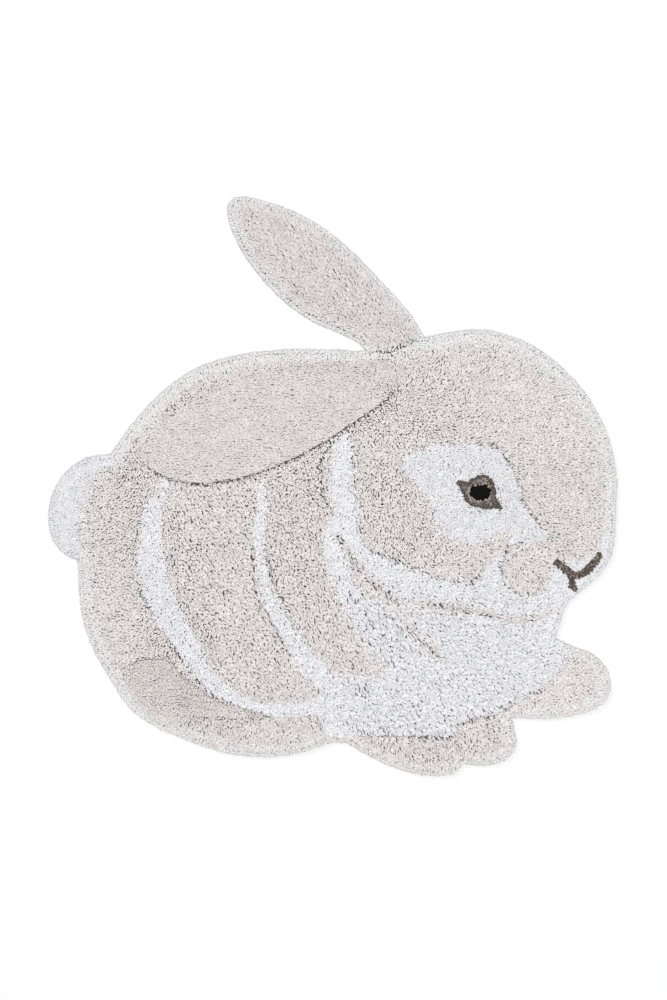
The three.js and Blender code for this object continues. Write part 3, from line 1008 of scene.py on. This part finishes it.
def thickening_tool():
    tool = bpy.data.node_groups.new("thicken yarns", "GeometryNodeTree")
    for way in ("INPUT", "OUTPUT"):
        tool.interface.new_socket("Geometry", in_out=way, socket_type="NodeSocketGeometry")
    node = Boxes(tool).node
    bare_lines = node("NodeGroupInput")[0]
    curves = node("GeometryNodeMeshToCurve", {}, {"Mesh": bare_lines})[0]
    ring = node("GeometryNodeCurvePrimitiveCircle", {}, {"Resolution": 3, "Radius": 1.0})[0]
    ring = node(
        "GeometryNodeStoreNamedAttribute",
        {"data_type": "FLOAT_VECTOR", "domain": "POINT"},
        {"Geometry": ring, "Name": "ring", "Value": node("GeometryNodeInputPosition")[0]},
    )[0]
    thick = node("GeometryNodeInputNamedAttribute", {"data_type": "FLOAT"}, {"Name": "thick"})[0]
    swept = {"Curve": curves, "Profile Curve": ring, "Scale": thick, "Fill Caps": True}
    yarns = node("GeometryNodeCurveToMesh", {}, swept)[0]
    yarns = node("GeometryNodeSetShadeSmooth", {}, {"Geometry": yarns})[0]
    node("NodeGroupOutput", {}, {"Geometry": yarns})
    return tool


tool = thickening_tool()
print("the thickening tool has", len(tool.nodes), "nodes")

# %% [markdown]
# What belongs to one yarn is stored on its points as attributes, which the sweep carries over
# to the finished mesh. A baked picture of the piece needs a flat map as well. Unwrapping so
# many yarns would take long, so each simply gets a small square of its own on the map, and no
# yarn's colour falls on another.

# %% Stored values and the flat map


def store(mesh, name, values, kind="FLOAT"):
    field = "vector" if kind == "FLOAT_VECTOR" else "value"
    flat = np.ascontiguousarray(values, np.float32).ravel()
    mesh.attributes.new(name, kind, "POINT").data.foreach_set(field, flat)


def read(mesh, name, width):
    values = np.empty(len(mesh.vertices) * width, np.float32)
    mesh.attributes[name].data.foreach_get("vector" if width == 3 else "value", values)
    return values.reshape(-1, width)


def lay_out_cells(mesh, size):
    cell, ring, along = read(mesh, "cell", 3), read(mesh, "ring", 3), read(mesh, "along", 1)
    u = cell[:, 0] + size * (0.5 + 0.4 * ring[:, 0])
    v = cell[:, 1] + size * (0.1 + 0.8 * along[:, 0])
    corners = np.empty(len(mesh.loops), np.int32)
    mesh.loops.foreach_get("vertex_index", corners)
    flat = np.stack([u[corners], v[corners]], axis=1)
    mesh.uv_layers.new(name="OFBake").data.foreach_set("uv", flat.astype(np.float32).ravel())
    for spent in ("cell", "thick"):
        if spent in mesh.attributes:
            mesh.attributes.remove(mesh.attributes[spent])


# %% [markdown]
# Now the yarns are made, one piece for each field in the list. A yarn is thickest at its knee.
# White yarn is thicker than grey, most of all where it lies smooth, and yarns at the rim, which
# nothing presses together, swell. One joined mesh for each field keeps the scene quick.

# %% The pieces of yarn
HALF_THICKNESS = np.array([  # at the root, the knee and the cut end
    (2.2, 2.6, 1.9),  # deep
    (2.1, 2.6, 2.1),  # ear
    (1.9, 2.3, 1.8),  # clipped
    (1.9, 2.2, 1.8),  # fine
])
SWOLLEN_RIM = 14


def yarn_piece(name, chosen):
    count = int(chosen.sum())
    mesh = bpy.data.meshes.new(name)
    first = np.arange(count)[:, None] * 3
    edges = np.stack([first + [0, 1], first + [1, 2]], axis=1).reshape(-1, 2)
    mesh.vertices.add(count * 3)
    mesh.vertices.foreach_set("co", (lines[chosen] * MM).astype(np.float32).ravel())
    mesh.edges.add(count * 2)
    mesh.edges.foreach_set("vertices", edges.astype(np.int32).ravel())
    mesh.update()
    fat = chance.uniform(0.88, 1.12, count)
    fat *= np.where(white[chosen], 1.1 + 0.12 * calmness(roots[chosen]), 1)
    fat *= np.where(gap[chosen] < SWOLLEN_RIM, 1.15, 1)
    store(mesh, "thick", HALF_THICKNESS[sorts[chosen]] * fat[:, None] * MM)
    store(mesh, "along", np.tile([0.0, KNEE_HEIGHT, 1.0], (count, 1)))
    store(mesh, "tint", np.repeat(tints[chosen], 3))
    store(mesh, "rim", np.repeat(rim_light_gap[chosen], 3))
    side = math.ceil(math.sqrt(count))
    cell = np.stack([np.arange(count) % side, np.arange(count) // side, np.zeros(count)], axis=1)
    store(mesh, "cell", np.repeat(cell / side, 3, axis=0), "FLOAT_VECTOR")
    piece = bpy.data.objects.new(name, mesh)
    bpy.context.scene.collection.objects.link(piece)
    piece.modifiers.new("thicken", "NODES").node_group = tool
    depsgraph = bpy.context.evaluated_depsgraph_get()
    whole = bpy.data.meshes.new_from_object(piece.evaluated_get(depsgraph))
    piece.modifiers.clear()
    piece.data = whole
    bpy.data.meshes.remove(mesh)
    whole.name = name
    if "sharp_edge" in whole.attributes:
        whole.attributes.remove(whole.attributes["sharp_edge"])
    lay_out_cells(whole, 1 / side)
    return piece


taken = np.zeros(len(x), bool)
pieces = {}
total = 0
for name, slot, chosen in fields:
    chosen = chosen & ~taken
    taken |= chosen
    piece = yarn_piece(name, chosen)
    faces = sum(len(p.vertices) - 2 for p in piece.data.polygons)
    total += faces
    pieces[name] = (piece, slot)
    print(name, int(chosen.sum()), "yarns", faces, "triangles")
print("triangles in all:", total)

# %% [markdown]
# ## A finish
#
# `Finish` is one material with nothing in it yet. Its methods are short names for the nodes
# that come up often in cotton and cloth, and `done` closes it with the shader.

# %% A finish


class Finish(Boxes):
    def __init__(self, name):
        self.material = bpy.data.materials.new(name)
        self.material.use_nodes = True
        super().__init__(self.material.node_tree)
        self.tree.nodes.clear()

    def attribute(self, name):
        return self.node("ShaderNodeAttribute", {"attribute_name": name})

    def mix(self, factor, first, second, blend="MIX"):
        settings = {"data_type": "RGBA", "blend_type": blend}
        return self.node("ShaderNodeMix", settings, {0: factor, 6: first, 7: second})[2]

    def cloudy(self, spot, scale, detail):
        inputs = {"Vector": spot, "Scale": scale, "Detail": detail}
        return self.node("ShaderNodeTexNoise", {}, inputs)[0]

    def threads(self, spot, scale, direction):
        inputs = {"Vector": spot, "Scale": scale, "Distortion": 1.0}
        return self.node("ShaderNodeTexWave", {"bands_direction": direction}, inputs)[0]

    def relief(self, height, strength, distance):
        inputs = {"Strength": strength, "Distance": distance, "Height": height}
        return self.node("ShaderNodeBump", {}, inputs)[0]

    def done(self, inputs):
        shader = self.node("ShaderNodeBsdfPrincipled", {}, inputs)[0]
        self.node("ShaderNodeOutputMaterial", {}, {"Surface": shader})
        return self.material


# %% [markdown]
# ## The cotton
#
# Cotton yarn is matt with a faint fuzz. Shade is painted on each yarn: its colour darkens
# towards the root, for the shade down between the tufts. Each yarn took the dye a little
# differently, and each is twisted from two plies. Near the rim the ends are painted lighter, a
# painted highlight for the splayed edge that catches the light. A picture of yarn would repeat
# and stretch. Noise in Object coordinates and the values stored on each yarn don't.

# %% The cotton
PATCHES, FIBRES, RIM_LIGHT_PATCHES = 14.0, 900.0, 45.0  # noise scales, more is finer
PLY_TURNS = 26.0
# painted highlight: the light colour painted on yarn ends near the rim
RIM_HIGHLIGHT = (0.86, 0.855, 0.86, 1)


# painted shade: the first colour is painted at each yarn's root, for the shade between the tufts;
# the second is the yarn's own colour
def cotton(name, deep, pale, spread, rim_light=0.0, mottle=0.0, blotch=(1, 1, 1, 1), fuzz=0.4):
    finish = Finish(name)
    along = finish.attribute("along")[2]
    tint = finish.attribute("tint")[2]
    spot = finish.node("ShaderNodeTexCoord")[3]
    # painted shade: the colour darkens towards the root
    out_of_shade = (along * 2.0 - 0.1).clipped()
    colour = finish.mix(out_of_shade, deep, pale)
    patchy = finish.cloudy(spot, PATCHES, 3.0)
    fibre = finish.cloudy(spot, FIBRES, 2.0)
    shade = 1.0 + (tint - 0.5) * spread + (patchy - 0.5) * 0.10 + (fibre - 0.5) * 0.12
    grey = finish.node("ShaderNodeCombineColor", {}, {0: shade, 1: shade, 2: shade})[0]
    colour = finish.mix(1.0, colour, grey, "MULTIPLY")
    if mottle:
        fleck = ((tint - (1 - mottle)) * 12.0).clipped()
        colour = finish.mix(fleck, colour, blotch)
    # painted highlight: yarn ends near the rim are painted lighter, less so down at the shaded
    # root
    if rim_light:
        from_rim = finish.attribute("rim")[2]
        patch = finish.cloudy(spot, RIM_LIGHT_PATCHES, 2.0)
        rim_lit = (1.0 - (from_rim + 2.0) / 32.0 + (patch - 0.5) * 1.6).clipped() * rim_light
        colour = finish.mix(rim_lit * (0.4 + 0.6 * out_of_shade), colour, RIM_HIGHLIGHT)
    ring = finish.attribute("ring")[1]
    parts = finish.node("ShaderNodeSeparateXYZ", {}, {0: ring})
    angle = parts[0].math("ARCTAN2", parts[1])
    ply = (angle * 2.0 + along * PLY_TURNS).math("SINE")
    bump = finish.relief(ply * 0.5 + fibre * 0.8, 0.2, 0.0008)
    return finish.done({
        "Base Color": colour, "Roughness": 0.92, "Normal": bump, "Sheen Weight": fuzz,
        "Sheen Roughness": 0.6, "Specular IOR Level": 0.15,
    })


grey = cotton("grey cotton", (0.36, 0.32, 0.30, 1), (0.817, 0.78, 0.768, 1), 0.16, rim_light=0.9)
white_yarn = cotton("white cotton", (0.42, 0.41, 0.42, 1), (0.845, 0.845, 0.87, 1), 0.10)
iris = cotton("brown cotton", (0.03, 0.025, 0.02, 1), (0.24, 0.20, 0.175, 1), 0.8,
              mottle=0.3, blotch=(0.46, 0.42, 0.38, 1), fuzz=0.1)
black = cotton("black cotton", (0.005, 0.004, 0.004, 1), (0.010, 0.007, 0.007, 1), 0.4, fuzz=0.0)
lips = cotton("dark brown cotton", (0.03, 0.024, 0.02, 1), (0.17, 0.135, 0.115, 1), 0.8,
              mottle=0.3, blotch=(0.36, 0.31, 0.28, 1), fuzz=0.1)
ear_grey = cotton("ear cotton", (0.34, 0.30, 0.28, 1), (0.785, 0.745, 0.735, 1), 0.14, rim_light=0.6)
# painted shade: the shorn foot's yarn is the grey cotton painted darker, because its cut ends face
# up
shorn = cotton("shorn grey cotton", (0.50, 0.46, 0.44, 1), (0.78, 0.735, 0.715, 1), 0.12, rim_light=0.2)
of_slot = {"grey_pile": grey, "white_pile": white_yarn, "eye_pile": iris, "mouth_pile": lips}
of_piece = {"eye_pupil": black, "grey_clipped_foot": shorn, "grey_raised_ear": ear_grey,
            "grey_laid_ear": ear_grey}
for name, (piece, slot) in pieces.items():
    piece.data.materials.clear()
    piece.data.materials.append(of_piece.get(name, of_slot[slot]))
    print(name, "is of", piece.data.materials[0].name)

# %% [markdown]
# ## The woven cloth
#
# The backing is a plain weave, one set of threads across another. Modelled threads would never
# be seen, so two sets of waves are multiplied, which gives the same small checks as colour and
# relief. The cloth's upper side lies in deep shade between the tufts, and that shade is painted
# on it: above a height its colour is dark.

# %% The woven cloth
THREADS = 320.0
UPPER_SIDE = 0.0015  # metres above the floor


def canvas(name):
    finish = Finish(name)
    spot = finish.node("ShaderNodeTexCoord")[3]
    weave = finish.threads(spot, THREADS, "X") * finish.threads(spot, THREADS, "Y")
    colour = finish.mix(weave, (0.45, 0.40, 0.33, 1), (0.72, 0.68, 0.60, 1))
    height = finish.node("ShaderNodeSeparateXYZ", {}, {0: spot})[2]
    # painted shade: above this height the cloth is coloured dark, for the shade between the tufts
    between_tufts = ((height - UPPER_SIDE) * 2000.0).clipped()
    colour = finish.mix(between_tufts, colour, (0.16, 0.135, 0.12, 1))
    bump = finish.relief(weave, 0.5, 0.0005)
    return finish.done({"Base Color": colour, "Roughness": 0.95, "Normal": bump})


backing.data.materials.append(canvas("woven cotton"))
print("backing is of", backing.data.materials[0].name)

# %% [markdown]
# ## The floor, the light and the camera
#
# The rug lies on a plain pale floor. It is a single square that reaches far past the picture,
# and it is no part of the rug.

# %% The floor
FLOOR_SIZE = 6.0
BELOW_RUG = 0.0006
floor_work = bmesh.new()
bmesh.ops.create_grid(floor_work, x_segments=1, y_segments=1, size=FLOOR_SIZE)
floor_mesh = bpy.data.meshes.new("floor")
floor_work.to_mesh(floor_mesh)
floor_work.free()
floor_mesh.transform(Matrix.Translation((0, 0, -BELOW_RUG)))
floor = bpy.data.objects.new("floor", floor_mesh)
bpy.context.scene.collection.objects.link(floor)
paint = Finish("pale floor")
floor.data.materials.append(paint.done({"Base Color": (0.92, 0.92, 0.92, 1), "Roughness": 0.9}))
print("the floor is", 2 * FLOOR_SIZE, "m wide")

# %% [markdown]
# White light from all round fills the gaps in the pile. A large lamp nearly overhead gives most
# of the rest, and a weaker one from the upper left lets each lock cast a small shadow, which
# is what shows the pile at all. Small lamps would make the shadows hard.

# %% The light
SURROUND = 0.36
world = bpy.data.worlds.new("studio")
bpy.context.scene.world = world
world.use_nodes = True
world.node_tree.nodes["Background"].inputs["Color"].default_value = (1, 1, 1, 1)
world.node_tree.nodes["Background"].inputs["Strength"].default_value = SURROUND


def lamp(name, place, size, power):
    data = bpy.data.lights.new(name, "AREA")
    data.shape, data.size, data.energy = "SQUARE", size, power
    light = bpy.data.objects.new(name, data)
    light.location = place
    light.rotation_euler = (-Vector(place)).to_track_quat("-Z", "Y").to_euler()
    bpy.context.scene.collection.objects.link(light)
    print("lamp:", name, power, "W")


lamp("soft box", (-2.4, 2.4, 5.0), 2.5, 78)
lamp("overhead", (0.7, -0.6, 6.5), 2.5, 268)

# %% [markdown]
# The camera looks straight down on the rug. A long lens from far away shows it nearly without
# perspective. Its height follows from how many millimetres of rug one pixel covers, at a level
# a little below the cut ends.

# %% The camera
MM_PER_PIXEL = 1.93
PICTURE_HEIGHT = 1000  # pixels
LENS, FILM = 85.0, 36.0
LEVEL = 0.016  # metres above the floor
PICTURE_MIDDLE = (0.001, -0.026)
camera_data = bpy.data.cameras.new("camera")
camera_data.lens, camera_data.sensor_width = LENS, FILM
camera_height = PICTURE_HEIGHT * MM_PER_PIXEL * MM * LENS / FILM + LEVEL
camera = bpy.data.objects.new("camera", camera_data)
camera.location = (*PICTURE_MIDDLE, camera_height)
bpy.context.scene.collection.objects.link(camera)
bpy.context.scene.camera = camera
bpy.context.scene.view_settings.view_transform = "Standard"
print("the camera is", round(camera_height, 2), "m up")

# %% [markdown]
# ## Finishing
#
# Every piece rides on the rug's one body and stands in for the imported solid, which is hidden.
# The cloth rides on the same body.

# %% Finishing
for name, (piece, slot) in pieces.items():
    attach(piece, "root")
    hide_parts("rug")
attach(backing, "root")
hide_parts("rug")
